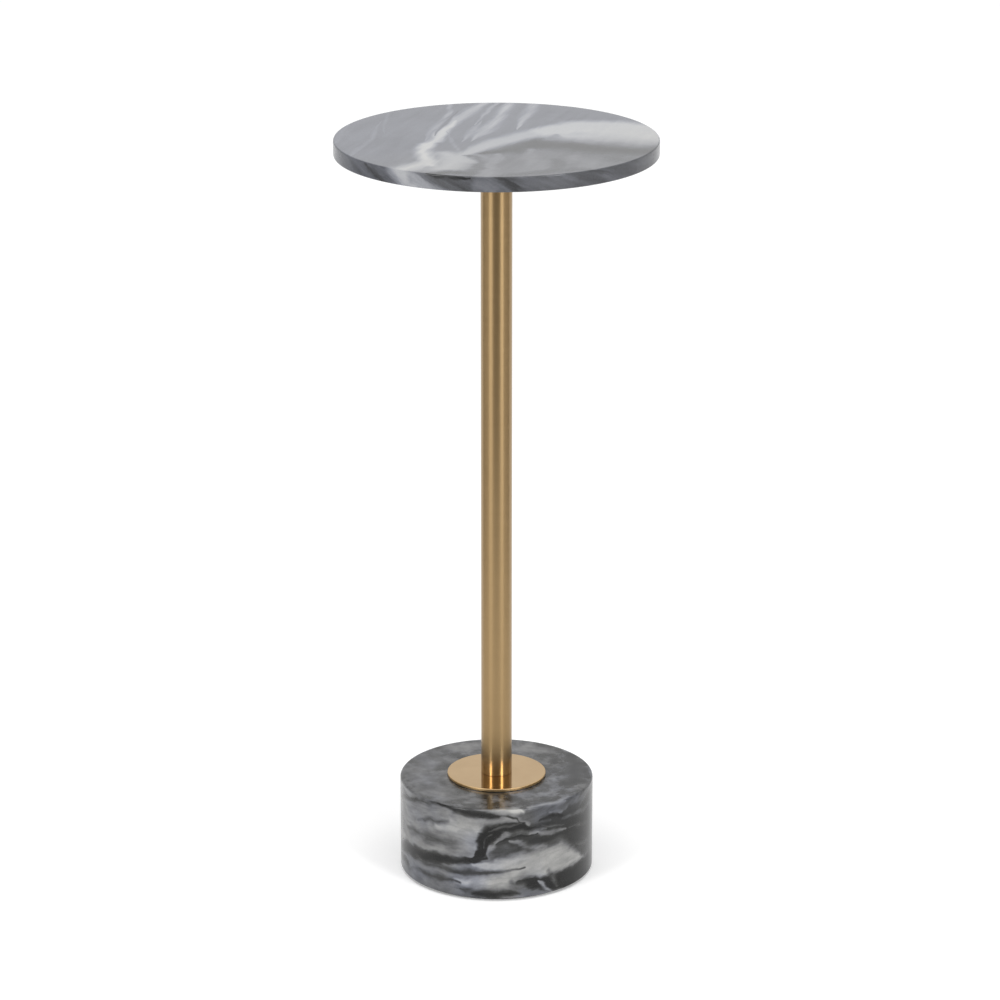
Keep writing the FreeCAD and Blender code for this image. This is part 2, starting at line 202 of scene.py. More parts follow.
def grown(name, mesh, tree, **sizes):
    """A piece that a geometry nodes tree makes out of a mesh, as a plain mesh."""
    piece = bpy.data.objects.new(name, mesh)
    bpy.context.scene.collection.objects.link(piece)
    growth = piece.modifiers.new("growth", "NODES")
    growth.node_group = tree
    sockets = {s.name.replace(" ", "_").lower(): s.identifier for s in tree.interface.items_tree}
    for key, value in sizes.items():
        growth[sockets[key]] = value
    evaluated = piece.evaluated_get(bpy.context.evaluated_depsgraph_get())
    result = bpy.data.meshes.new_from_object(evaluated)
    piece.modifiers.clear()
    piece.data = result
    result.name = name
    return piece


lathe = lathe_tree()


def turned(name, outline, material):
    """A turned piece from an outline of (radius, height) points in millimetres."""
    line = bpy.data.meshes.new(name + "_outline")
    points = [(radius * MM, 0, height * MM) for radius, height in outline]
    line.from_pydata(points, [(i, i + 1) for i in range(len(points) - 1)], [])
    return grown(name, line, lathe, steps=256, sharp_angle=math.radians(35), material=material)


def eased(corners):
    """Outline through square corners (radius, height, arris), each rounded by its arris.
    A guard point beside each rounding keeps the flat next to it flat."""
    guard = 0.25
    steps = 6
    outline = []
    for i, (radius, height, arris) in enumerate(corners):
        if not arris:
            outline.append((radius, height))
            continue
        sides = []
        for neighbour in (corners[i - 1], corners[i + 1]):
            run = math.dist(neighbour[:2], (radius, height))
            sides.append(((neighbour[0] - radius) / run, (neighbour[1] - height) / run))
        before, after = sides
        centre = (radius + arris * (before[0] + after[0]), height + arris * (before[1] + after[1]))
        outline.append((radius + (arris + guard) * before[0], height + (arris + guard) * before[1]))
        for step in range(steps + 1):
            turn = math.pi / 2 * step / steps
            outline.append(tuple(
                centre[k] - arris * (after[k] * math.cos(turn) + before[k] * math.sin(turn)) for k in (0, 1)
            ))
        outline.append((radius + (arris + guard) * after[0], height + (arris + guard) * after[1]))
    return outline


def stretch_group():
    """Shader nodes that measure how far a place lies from one straight stretch of a vein, in half
    widths: 0 is the stretch's middle line and 1 its edge, which the fray pushes in and out.
    Where the vein is thin the fray lessens with it, so that a tip stays a tip."""
    thin_mm = 4
    tree = bpy.data.node_groups.new("vein_stretch", "ShaderNodeTree")
    for name, kind in (
        ("Place", "Vector"), ("Start", "Vector"), ("Direction", "Vector"), ("Length", "Float"),
        ("Half width", "Float"), ("Widening", "Float"), ("Fray", "Float"),
    ):
        tree.interface.new_socket(name, in_out="INPUT", socket_type="NodeSocket" + kind)
    tree.interface.new_socket("Distance", in_out="OUTPUT", socket_type="NodeSocketFloat")
    given = node(tree, "NodeGroupInput").outputs
    from_start = node(
        tree, "ShaderNodeVectorMath", {0: given["Place"], 1: given["Start"]}, operation="SUBTRACT",
    ).outputs[0]
    along = node(
        tree, "ShaderNodeVectorMath", {0: from_start, 1: given["Direction"]}, operation="DOT_PRODUCT",
    ).outputs["Value"]
    started = node(tree, "ShaderNodeMath", {0: along, 1: 0.0}, operation="MAXIMUM").outputs[0]
    kept = node(tree, "ShaderNodeMath", {0: started, 1: given["Length"]}, operation="MINIMUM").outputs[0]
    nearest = node(
        tree, "ShaderNodeVectorMath", {0: given["Direction"], "Scale": kept}, operation="SCALE",
    ).outputs[0]
    away = node(
        tree, "ShaderNodeVectorMath", {0: from_start, 1: nearest}, operation="DISTANCE",
    ).outputs["Value"]
    half = node(
        tree, "ShaderNodeMath",
        {0: kept, 1: given["Widening"], 2: given["Half width"]}, operation="MULTIPLY_ADD",
    ).outputs[0]
    thinness = node(tree, "ShaderNodeMath", {0: half, 1: thin_mm}, operation="DIVIDE").outputs[0]
    share = node(tree, "ShaderNodeMath", {0: thinness, 1: 1.0}, operation="MINIMUM").outputs[0]
    frayed = node(
        tree, "ShaderNodeMath", {0: given["Fray"], 1: share, 2: away}, operation="MULTIPLY_ADD",
    ).outputs[0]
    distance = node(tree, "ShaderNodeMath", {0: frayed, 1: half}, operation="DIVIDE").outputs[0]
    node(tree, "NodeGroupOutput", {"Distance": distance})
    return tree


vein_stretch = stretch_group()


def vein(tree, tone, place, fray, points, paint, soft=1.0, strength=1.0):
    """Lays a vein or cloud of one paler or darker mineral over the stone's tone, along points of
    (x, y, width) in millimetres, and gives the new tone. Soft is the share of its half width that
    fades out, and strength the share of the old tone that it covers."""
    nearest = None
    for (x, y, width), (next_x, next_y, next_width) in zip(points, points[1:]):
        length = math.hypot(next_x - x, next_y - y)
        distance = node(
            tree, "ShaderNodeGroup",
            {
                "Place": place,
                "Start": (x, y, 0),
                "Direction": ((next_x - x) / length, (next_y - y) / length, 0),
                "Length": length,
                "Half width": width / 2,
                "Widening": (next_width - width) / 2 / length,
                "Fray": fray,
            },
            node_tree=vein_stretch,
        ).outputs[0]
        if nearest:
            distance = node(tree, "ShaderNodeMath", {0: nearest, 1: distance}, operation="MINIMUM").outputs[0]
        nearest = distance
    mask = node(
        tree, "ShaderNodeMapRange",
        {"Value": nearest, "From Min": 1.0, "From Max": 1 - soft, "To Min": 0.0, "To Max": strength},
        interpolation_type="SMOOTHSTEP", clamp=False,
    ).outputs[0]
    return node(tree, "ShaderNodeMix", {0: mask, 2: tone, 3: paint}).outputs[0]


def wander(tree, place, *swirls):
    """The place, pushed about by swirls of (size, reach) in millimetres, one after another."""
    middle = (0.5, 0.5, 0.5)
    for size, reach in swirls:
        swirl = node(tree, "ShaderNodeTexNoise", {"Vector": place, "Scale": 1 / size, "Detail": 2.0})
        centred = node(
            tree, "ShaderNodeVectorMath", {0: swirl.outputs["Color"], 1: middle}, operation="SUBTRACT",
        ).outputs[0]
        push = node(
            tree, "ShaderNodeVectorMath", {0: centred, "Scale": 2 * reach}, operation="SCALE",
        ).outputs[0]
        place = node(tree, "ShaderNodeVectorMath", {0: place, 1: push}, operation="ADD").outputs[0]
    return place


def flat(tree, place):
    """The place without its third coordinate."""
    return node(tree, "ShaderNodeMapping", {"Vector": place, "Scale": (1, 1, 0)}).outputs[0]


def unrolled(tree, place, radius):
    """The side of a round block laid flat: arc length to the right of the front, and height.
    Over the upper rim the height runs on inwards, so that a vein carries on across the rim."""
    x, y, z = node(tree, "ShaderNodeSeparateXYZ", {0: place}).outputs
    front = node(tree, "ShaderNodeMath", {0: y, 1: -1.0}, operation="MULTIPLY").outputs[0]
    angle = node(tree, "ShaderNodeMath", {0: x, 1: front}, operation="ARCTAN2").outputs[0]
    arc = node(tree, "ShaderNodeMath", {0: angle, 1: radius}, operation="MULTIPLY").outputs[0]
    level = node(tree, "ShaderNodeCombineXYZ", {"X": x, "Y": y}).outputs[0]
    out = node(tree, "ShaderNodeVectorMath", {0: level}, operation="LENGTH").outputs["Value"]
    inwards = node(tree, "ShaderNodeMath", {0: radius, 1: out}, operation="SUBTRACT").outputs[0]
    height = node(tree, "ShaderNodeMath", {0: z, 1: inwards}, operation="ADD").outputs[0]
    return node(tree, "ShaderNodeCombineXYZ", {"X": arc, "Y": height}).outputs[0]


def grain_noise(tree, place, turn, sizes):
    """Noise drawn out along the stone's grain, in sizes of millimetres, mostly from 0.25 to 0.75."""
    grain = node(
        tree, "ShaderNodeMapping", {"Vector": place, "Rotation": turn, "Scale": sizes}, vector_type="TEXTURE",
    ).outputs[0]
    return node(tree, "ShaderNodeTexNoise", {"Vector": grain, "Scale": 1.0, "Detail": 2.0}).outputs["Fac"]


def streaks(tree, place, turn, sizes, low, high):
    """Soft streaks along the stone's grain, as a value from low to high."""
    noise = grain_noise(tree, place, turn, sizes)
    return node(
        tree, "ShaderNodeMapRange",
        {"Value": noise, "From Min": 0.25, "From Max": 0.75, "To Min": low, "To Max": high}, clamp=False,
    ).outputs[0]


def hairlines(tree, place, turn, sizes, depth):
    """Fine dark lines along the stone's grain, as a value from 0 beside them to minus the depth on them.
    They run where the grain's noise passes its middle value."""
    middle = 0.5
    half_width = 0.05
    noise = grain_noise(tree, place, turn, sizes)
    beside = node(tree, "ShaderNodeMath", {0: noise, 1: middle}, operation="SUBTRACT").outputs[0]
    away = node(tree, "ShaderNodeMath", {0: beside}, operation="ABSOLUTE").outputs[0]
    return node(tree, "ShaderNodeMapRange", {
        "Value": away, "From Min": 0.0, "From Max": half_width, "To Min": -depth, "To Max": 0.0,
    }).outputs[0]


def finish_marble(tree, place, tone, streak, warmth):
    """Polished grey marble from its tone: charcoal to white calcite, streaked and with a crystal grain.
    Streaks show most in mid grey and fade towards black and white. As the warmth goes from 0 to 1,
    the grey turns from blue to warm."""
    grain_mm = 1.1
    grain_depth = 0.1
    full_at_mid_grey = 4.0
    grain = node(tree, "ShaderNodeTexNoise", {"Vector": place, "Scale": 1 / grain_mm, "Detail": 3.0})
    grained = node(
        tree, "ShaderNodeMath",
        {0: grain.outputs["Fac"], 1: grain_depth, 2: -grain_depth / 2}, operation="MULTIPLY_ADD",
    ).outputs[0]
    from_white = node(tree, "ShaderNodeMath", {0: 1.0, 1: tone}, operation="SUBTRACT").outputs[0]
    middling = node(tree, "ShaderNodeMath", {0: tone, 1: from_white}, operation="MULTIPLY").outputs[0]
    faded = node(
        tree, "ShaderNodeMath", {0: middling, 1: full_at_mid_grey}, operation="MULTIPLY",
    ).outputs[0]
    streaked = node(
        tree, "ShaderNodeMath", {0: streak, 1: faded, 2: tone}, operation="MULTIPLY_ADD",
    ).outputs[0]
    stone = node(tree, "ShaderNodeMath", {0: streaked, 1: grained}, operation="ADD").outputs[0]
    cool = node(tree, "ShaderNodeValToRGB", {"Fac": stone}, [
        (0.0, "#060607"), (0.2, "#36373B"), (0.4, "#5C5F68"),
        (0.62, "#80838D"), (0.86, "#A9ABB0"), (1.0, "#C6C6C4"),
    ]).outputs["Color"]
    warm = node(tree, "ShaderNodeValToRGB", {"Fac": stone}, [
        (0.0, "#070706"), (0.2, "#393938"), (0.4, "#616162"),
        (0.62, "#868685"), (0.86, "#ACABA8"), (1.0, "#C8C5BF"),
    ]).outputs["Color"]
    colour = node(tree, "ShaderNodeMix", {0: warmth, 6: cool, 7: warm}, data_type="RGBA").outputs[2]
    gloss = node(tree, "ShaderNodeMapRange", {
        "Value": grain.outputs["Fac"], "To Min": 0.17, "To Max": 0.25,
    }).outputs[0]
    finish_material(tree, Base_Color=colour, Roughness=gloss, IOR=1.5, Specular_IOR_Level=0.28)


def drum_marble(radius, foot, head):
    """Folded grey marble, sawn across its layers: bands of charcoal, grey and white run round the side,
    and the top face, which lies along one dark layer, is a quiet cloudy grey."""
    material, tree, place = new_material("polished_folded_grey_marble")
    layer_mm = 15
    cloud_mm = 80
    bedding = (math.radians(6), math.radians(-9), 0)
    folded = wander(tree, place, (60, 26), (13, 4))
    layers = node(
        tree, "ShaderNodeMapping",
        {"Vector": folded, "Rotation": bedding, "Scale": (cloud_mm, cloud_mm, layer_mm)},
        vector_type="TEXTURE",
    ).outputs[0]
    bands = node(tree, "ShaderNodeTexNoise", {
        "Vector": layers, "Scale": 1.0, "Detail": 5.0, "Roughness": 0.55,
    })
    tone = node(
        tree, "ShaderNodeMapRange",
        {"Value": bands.outputs["Fac"], "From Min": 0.33, "From Max": 0.68, "To Min": 0.02, "To Max": 0.85},
        interpolation_type="SMOOTHSTEP", clamp=False,
    ).outputs[0]
    lifted = node(tree, "ShaderNodeVectorMath", {0: place, 1: (0, 0, -foot)}, operation="ADD").outputs[0]
    side = flat(tree, wander(tree, unrolled(tree, lifted, radius), (20, 3.5), (8, 1.3), (3, 0.4)))
    slope = (0, 0, math.radians(4))
    fray = streaks(tree, side, slope, (13, 5, 1), low=-1.5, high=1.5)
    faint = streaks(tree, side, slope, (20, 6, 1), low=0.3, high=1.2)

    def paint(points, colour, **edge):
        nonlocal tone
        tone = vein(tree, tone, side, fray, points, colour, **edge)

    # a quiet ground for the front, and the mid-grey field on the left with slate streaks
    paint([(-105, 38, 110), (105, 38, 110)], 0.36, soft=0.4, strength=0.85)
    paint([(-118, 54, 60), (-60, 58, 56), (-36, 60, 44)], 0.5)
    paint([(-136, 42, 110), (-116, 42, 50)], 0.26)
    paint([(-116, 64, 6), (-84, 71, 9), (-46, 77, 9)], 0.1, strength=faint)
    paint([(-120, 33, 12), (-70, 36, 14), (-28, 38, 12)], 0.54)
    paint([(-92, 44, 4), (-62, 46, 16), (-34, 46, 8)], 0.27)
    paint([(-74, 55, 5), (-55, 60, 10), (-40, 65, 5)], 0.2, strength=faint)
    paint([(-100, 50, 4), (-76, 53, 8), (-54, 55, 3)], 0.54, strength=faint)
    # the white blob left of the middle
    paint([(-24, 52, 30), (-21, 41, 30)], 0.56)
    paint([(-50, 57, 10), (-32, 60, 28), (-17, 62, 26)], 0.7)
    paint([(-30, 57, 8), (-22, 59, 10), (-15, 56, 5)], 0.56, strength=faint)
    # the dark right half
    paint([(6, 51, 42), (40, 54, 52), (66, 55, 58)], 0.1, soft=0.8)
    paint([(62, 46, 64), (104, 44, 90)], 0.06, soft=0.9)
    paint([(18, 74, 10), (34, 73, 18), (60, 74, 16)], 0.3)
    paint([(22, 67, 6), (34, 66, 12), (44, 64, 5)], 0.3, strength=faint)
    paint([(54, 71, 4), (84, 72, 11), (112, 74, 5)], 0.32, strength=faint)
    paint([(58, 63, 3), (80, 61, 8), (104, 60, 4)], 0.3, strength=faint)
    paint([(66, 51, 3), (80, 50, 6), (94, 47, 3)], 0.22, strength=faint)
    paint([(76, 34, 4), (96, 30, 10), (120, 26, 6)], 0.28, strength=faint)
    paint([(36, 65, 4), (47, 67.5, 8), (58, 65.5, 4)], 0.02)
    paint([(44, 71, 4), (50, 70.5, 8), (57, 69, 4)], 0.5, strength=faint)
    paint([(46, 80, 6), (54, 79, 9), (62, 77, 4)], 0.6)
    # the thin band that leaves the blob, the black fold under it and the grey lines inside the fold
    paint([(-26, 66.5, 9), (2, 68, 9), (16, 67.5, 8), (28, 64, 5)], 0.6, strength=faint)
    paint([
        (-18, 33, 6), (-12, 42, 11), (-10, 50, 15), (-5, 58, 19), (6, 61, 12), (20, 62.5, 9), (36, 57.5, 4),
    ], 0.02, soft=0.5)
    paint([(-2, 43, 8), (7, 44.5, 14), (16, 44, 6)], 0.22)
    paint([(-8, 37, 3), (-5, 44, 7), (2, 50.5, 7), (9, 57, 8)], 0.5, soft=0.9)
    paint([(7, 57.3, 7), (22, 58.5, 7), (42, 57, 5)], 0.4, strength=faint)
    paint([(28, 56, 5), (46, 52.4, 8), (62, 51.5, 5)], 0.5, strength=faint)
    paint([(10, 51, 4), (19, 48, 9), (28, 44.5, 10), (42, 42, 8)], 0.5, strength=faint)
    paint([(-14, 71, 2), (4, 71.5, 3), (16, 69, 3), (21, 64, 2)], 0.1, strength=faint)
    paint([(-7, 60, 2), (-2, 62, 3), (8, 63.5, 3), (20, 65, 2)], 0.3, strength=faint)
    paint([(-11, 44, 2), (-9, 52, 3), (-4, 57, 2)], 0.22, strength=faint)
    paint([(0, 47, 2), (9, 53, 3), (20, 55, 3), (34, 54, 2)], 0.04)
    paint([(38, 60, 2), (48, 57, 4), (60, 56, 2)], 0.3, strength=faint)
    # the broad white band under the fold, and the white patch at the foot
    paint([(-52, 25, 5), (-26, 26.8, 10), (0, 29.5, 12)], 0.52)
    paint([
        (-20, 28.5, 5), (0, 29.5, 14), (16, 29, 27), (36, 27.5, 40),
        (54, 27.5, 42), (66, 24, 28), (78, 19, 14), (94, 14, 3),
    ], 0.7, soft=0.7)
    paint([(-34, 13.5, 8), (-14, 14.3, 18), (2, 15.5, 20), (14, 20, 18)], 0.7)
    # the black band on the left and the streaks below it
    paint([
        (-124, 17, 10), (-92, 25.5, 16), (-60, 28, 15), (-36, 30, 11), (-20, 32.5, 8), (-9, 36, 5),
    ], 0.04, soft=0.8)
    paint([(-72, 21, 6), (-40, 21, 9), (-12, 21.8, 8), (4, 24, 6), (22, 26, 3)], 0.14, strength=faint)
    paint([(-116, 15, 8), (-62, 17.5, 10), (-28, 18, 5)], 0.44)
    paint([(-90, 9, 5), (-58, 13, 10), (-30, 13, 4)], 0.12, strength=faint)
    # the foot
    paint([(-112, 5, 18), (-60, 5, 18), (-30, 6, 14)], 0.42)
    paint([(-122, 11, 11), (-90, 13, 8)], 0.16)
    paint([(-30, 7, 5), (-20, 5.5, 11), (-6, 4, 8)], 0.2)
    paint([(-18, 4, 6), (0, 4.5, 11), (18, 5, 6)], 0.05)
    paint([(18, 13, 9), (44, 9.5, 19), (80, 8, 25), (118, 8, 27)], 0.04, soft=0.55)
    paint([(12, 15, 7), (20, 9, 15), (27, 0, 13)], 0.34)
    paint([(44, 21, 6), (48, 14, 10), (53, 6, 5)], 0.3, strength=faint)
    paint([(35, 12.5, 3), (38, 9, 7), (42, 5, 6), (48, 0, 4)], 0.58)
    # the upper rim
    paint([(-50, 77.5, 5), (-24, 74.5, 12), (2, 71, 5)], 0.04)
    paint([(-6, 80, 8), (6, 77.5, 15), (22, 75, 6)], 0.82)

    # the top face: soft clouds, paler on the left, with a dark zone on the right
    patch_mm = 17
    level = flat(tree, wander(tree, place, (30, 8)))
    clouds = node(tree, "ShaderNodeTexNoise", {
        "Vector": level, "Scale": 1 / patch_mm, "Detail": 5.0, "Roughness": 0.6,
    }).outputs["Fac"]
    face = node(
        tree, "ShaderNodeMapRange",
        {"Value": clouds, "From Min": 0.34, "From Max": 0.66, "To Min": 0.03, "To Max": 0.42},
        interpolation_type="SMOOTHSTEP", clamp=False,
    ).outputs[0]

    def paint_face(points, colour, **edge):
        nonlocal face
        face = vein(tree, face, level, fray, points, colour, **edge)

    paint_face([(-34, 60, 34), (6, 62, 44), (40, 52, 36)], 0.58, strength=0.7)
    paint_face([(60, 46, 14), (66, 22, 34), (66, -14, 26)], 0.04, strength=0.8)
    paint_face([(-58, 46, 50), (-62, 0, 56), (-40, -50, 50)], 0.45, strength=0.65)
    paint_face([(-12, -38, 4), (-5, -78, 6)], 0.02)
    paint_face([(0, -78, 14), (14, -76, 14)], 0.62)
    paint_face([(28, -72, 8), (46, -62, 12), (58, -52, 8)], 0.62)
    rim_height = head - foot
    below_rim = 0.5
    inside_rim = 3
    height = node(tree, "ShaderNodeSeparateXYZ", {0: side}).outputs["Y"]
    on_face = node(
        tree, "ShaderNodeMapRange",
        {"Value": height, "From Min": rim_height - below_rim, "From Max": rim_height + inside_rim},
        interpolation_type="SMOOTHSTEP", clamp=False,
    ).outputs[0]
    tone = node(tree, "ShaderNodeMix", {0: on_face, 2: tone, 3: face}).outputs[0]

    gentle = wander(tree, place, (50, 8), (14, 1.6))
    soft_streaks = streaks(tree, gentle, bedding, (13, 13, 6), low=-0.09, high=0.11)
    cracks = hairlines(tree, gentle, bedding, (60, 60, 9), depth=0.05)
    streak = node(tree, "ShaderNodeMath", {0: soft_streaks, 1: cracks}, operation="ADD").outputs[0]
    warm_patch_mm = 45
    warmth = streaks(tree, place, (0, 0, 0), (warm_patch_mm,) * 3, low=0.0, high=1.6)
    finish_marble(tree, place, tone, streak, warmth)
    return material


def size_of(name):
    """Radius, foot and head of a round CAD piece, in millimetres."""
    low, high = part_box(name)
    return high[0] / MM, low[2] / MM, high[2] / MM


def fit(piece, name):
    """Puts a piece on the object in place of its CAD solid."""
    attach(piece, "root")
    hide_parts(name)


drum_radius, drum_foot, drum_head = size_of("marble_drum")
drum_arris = 1.5
bolt_hole_radius = 5.5
recess_radius = 23
recess_bevel = 1
recess_depth = 22
recess_roof = drum_foot + recess_depth
drum = turned("polished_marble_drum", eased([
    (bolt_hole_radius, recess_roof, 0),
    (recess_radius, recess_roof, 0),
    (recess_radius, drum_foot + recess_bevel, 0),
    (recess_radius + recess_bevel, drum_foot, 0),
    (drum_radius, drum_foot, drum_arris),
    (drum_radius, drum_head, drum_arris),
    (bolt_hole_radius, drum_head, 0),
    (bolt_hole_radius, recess_roof, 0),
]), drum_marble(drum_radius, drum_foot, drum_head))
fit(drum, "marble_drum")


# The gasket: a thin grey fibre washer between the flange and the marble, cut a little smaller than the
# flange so that only a dark line of shade shows under the brass.

def fibre_gasket():
    """Compressed fibre sheet: matt grey, flecked with paler fibres."""
    material, tree, place = new_material("grey_fibre_gasket_sheet")
    fibre_mm = 0.8
    fibres = node(tree, "ShaderNodeTexNoise", {"Vector": place, "Scale": 1 / fibre_mm, "Detail": 4.0})
    bump = node(tree, "ShaderNodeBump", {
        "Height": fibres.outputs["Fac"], "Strength": 0.3, "Distance": 0.05 * MM,
    })
    colour = node(
        tree, "ShaderNodeValToRGB", {"Fac": fibres.outputs["Fac"]}, [(0.35, "#6F6D69"), (0.7, "#918E88")],
    ).outputs["Color"]
    finish_material(tree, Base_Color=colour, Roughness=0.8, Normal=bump.outputs[0])
    return material


dress(nodes["flange_gasket"], fibre_gasket())


# The flange: a disc of brass, turned and polished bright, with a fine rounded rim. The bolt pulls it down
# on the gasket and it spreads the column's foot over the marble.

def polished_brass(radius):
    """Polished and lacquered brass: a clear mirror, with the faint haze that buffing leaves.
    The rim is left satin from the lathe, so that it carries a soft line of light."""
    material, tree, place = new_material("polished_brass")
    haze_mm = 18
    rim_mm = 1.2
    rim_roughness = 0.42
    haze = node(tree, "ShaderNodeTexNoise", {"Vector": place, "Scale": 1 / haze_mm, "Detail": 3.0})
    mirror = node(tree, "ShaderNodeMapRange", {"Value": haze.outputs["Fac"], "To Min": 0.06, "To Max": 0.13})
    out = node(tree, "ShaderNodeVectorMath", {0: flat(tree, place)}, operation="LENGTH").outputs["Value"]
    on_rim = node(tree, "ShaderNodeMapRange", {
        "Value": out, "From Min": radius - rim_mm, "From Max": radius - rim_mm / 2,
    }).outputs[0]
    gloss = node(tree, "ShaderNodeMix", {0: on_rim, 2: mirror.outputs[0], 3: rim_roughness}).outputs[0]
    colour = node(
        tree, "ShaderNodeValToRGB", {"Fac": haze.outputs["Fac"]}, [(0.3, "#B4976D"), (0.7, "#BA9D73")],
    ).outputs["Color"]
    finish_material(tree, Base_Color=colour, Metallic=1.0, Roughness=gloss)
    return material


flange_radius, flange_foot, flange_head = size_of("base_flange")
flange_arris = 0.5
flange = turned("polished_brass_flange", eased([
    (bolt_hole_radius, flange_foot, 0),
    (flange_radius, flange_foot, 0),
    (flange_radius, flange_head, flange_arris),
    (bolt_hole_radius, flange_head, 0),
    (bolt_hole_radius, flange_foot, 0),
]), polished_brass(flange_radius))
fit(flange, "base_flange")


# The column: a thin-walled brass tube, brushed round and round while it turned and then lacquered.
# Plugs in its two ends take the bolt from below and the stud from above.

def brushed_brass():
    """Brass brushed round its axis: each highlight is drawn out upright into a long soft band, and
    the brush lines show as faint rings. The lines are drawn coarser than the real grit, so that they show."""
    material, tree, place = new_material("brushed_brass_tube")
    line_mm = 0.7
    streak_mm = 40
    rings = node(tree, "ShaderNodeMapping", {
        "Vector": place, "Scale": (1 / streak_mm, 1 / streak_mm, 1 / line_mm),
    }).outputs[0]
    lines = node(tree, "ShaderNodeTexNoise", {"Vector": rings, "Scale": 1.0, "Detail": 3.0})
    gloss = node(tree, "ShaderNodeMapRange", {"Value": lines.outputs["Fac"], "To Min": 0.25, "To Max": 0.275})
    round_axis = node(tree, "ShaderNodeVectorMath", {0: (0, 0, 1), 1: place}, operation="CROSS_PRODUCT")
    colour = node(
        tree, "ShaderNodeValToRGB", {"Fac": lines.outputs["Fac"]}, [(0.3, "#967E5B"), (0.7, "#9B835F")],
    ).outputs["Color"]
    finish_material(
        tree,
        Base_Color=colour,
        Metallic=1.0,
        Roughness=gloss.outputs[0],
        Anisotropic=0.72,
        Anisotropic_Rotation=0.25,
        Tangent=round_axis.outputs[0],
    )
    return material


tube_radius, tube_foot, tube_head = size_of("column_tube")
tube_wall = 1.5
tube_bevel = 0.3
tube_bore = tube_radius - tube_wall
tube = turned("brushed_brass_tube", [
    (tube_bore, tube_foot),
    (tube_radius - tube_bevel, tube_foot),
    (tube_radius, tube_foot + tube_bevel),
    (tube_radius, tube_head - tube_bevel),
    (tube_radius - tube_bevel, tube_head),
    (tube_bore, tube_head),
    (tube_bore, tube_foot),
], brushed_brass())
fit(tube, "column_tube")


# The plate under the top: a steel disc, bevelled, countersunk and powder coated black. The stud hangs in
# its middle, and four countersunk screws hold it to the marble.

def powder_coat():
    """Black powder coat on steel: a satin skin with a fine orange-peel ripple."""
    material, tree, place = new_material("black_powder_coat")
    ripple_mm = 1.6
    ripple = node(tree, "ShaderNodeTexNoise", {"Vector": place, "Scale": 1 / ripple_mm, "Detail": 2.0})
    bump = node(tree, "ShaderNodeBump", {
        "Height": ripple.outputs["Fac"], "Strength": 0.25, "Distance": 0.1 * MM,
    })
    colour = node(
        tree, "ShaderNodeValToRGB", {"Fac": ripple.outputs["Fac"]}, [(0.3, "#161616"), (0.7, "#202021")],
    ).outputs["Color"]
    finish_material(tree, Base_Color=colour, Roughness=0.42, IOR=1.5, Normal=bump.outputs[0])
    return material


dress(nodes["top_plate"], powder_coat())


# The screws: four countersunk socket screws of zinc-plated steel, turned up through the plate into brass
# inserts that are glued into the marble. No two sockets point the same way.

def ring_tree():
    """Geometry nodes that stand copies of a fitting on a circle, each turned by its own random angle."""
    tree = bpy.data.node_groups.new("ring_of_fittings", "GeometryNodeTree")
    for name, kind in (
        ("Fitting", "Geometry"), ("Count", "Int"), ("Radius", "Float"), ("Seed", "Int"),
        ("Material", "Material"),
    ):
        tree.interface.new_socket(name, in_out="INPUT", socket_type="NodeSocket" + kind)
    tree.interface.new_socket("Ring", in_out="OUTPUT", socket_type="NodeSocketGeometry")
    given = node(tree, "NodeGroupInput").outputs
    circle = node(tree, "GeometryNodeMeshCircle", {
        "Vertices": given["Count"], "Radius": given["Radius"],
    }).outputs[0]
    angle = node(
        tree, "FunctionNodeRandomValue",
        {"Min": (0, 0, 0), "Max": (0, 0, 2 * math.pi), "Seed": given["Seed"]}, data_type="FLOAT_VECTOR",
    ).outputs[0]
    copies = node(tree, "GeometryNodeInstanceOnPoints", {
        "Points": circle, "Instance": given["Fitting"], "Rotation": angle,
    }).outputs[0]
    real = node(tree, "GeometryNodeRealizeInstances", {0: copies}).outputs[0]
    made_of = node(tree, "GeometryNodeSetMaterial", {0: real, "Material": given["Material"]}).outputs[0]
    node(tree, "NodeGroupOutput", {"Ring": made_of})
    return tree


def socket_screw(foot, head):
    """One countersunk screw, head down, with a hexagon socket, as a mesh on the upright axis."""
    steps = 48
    flats = math.pi / 3
    head_radius = 4.8
    thread_radius = 2.5
    land = 0.4
    socket_half = 1.5
    socket_depth = 1.6
    socket_chamfer = 0.1
    drill_point = 0.4
    rounding = 0.25
    point = 0.6
    cone_top = foot + land + head_radius - thread_radius
    socket_rings = [
        (socket_half, foot + socket_depth),
        (socket_half, foot + socket_chamfer),
        (socket_half + socket_chamfer, foot),
    ]
    round_rings = [
        (head_radius - rounding, foot),
        (head_radius, foot + rounding),
        (head_radius, foot + land),
        (thread_radius, cone_top),
        (thread_radius, head - point),
        (thread_radius - point, head),
    ]
    corners = [(0, 0, (foot + socket_depth + drill_point) * MM)]
    for ring, (radius, height) in enumerate(socket_rings + round_rings):
        for step in range(steps):
            angle = 2 * math.pi * step / steps
            from_flat = (angle + flats / 2) % flats - flats / 2
            out = radius / math.cos(from_flat) if ring < len(socket_rings) else radius
            corners.append((out * math.cos(angle) * MM, out * math.sin(angle) * MM, height * MM))
    corners.append((0, 0, head * MM))
    faces = []
    last = len(socket_rings + round_rings) - 1
    for step in range(steps):
        after = (step + 1) % steps
        faces.append((0, 1 + step, 1 + after))
        for ring in range(last):
            low = 1 + ring * steps
            high = low + steps
            faces.append((low + step, high + step, high + after, low + after))
        faces.append((1 + last * steps + step, len(corners) - 1, 1 + last * steps + after))
    mesh = bpy.data.meshes.new("socket_screw")
    mesh.from_pydata(corners, [], faces)
    mesh.shade_smooth()
    mesh.set_sharp_from_angle(angle=math.radians(30))
    return mesh


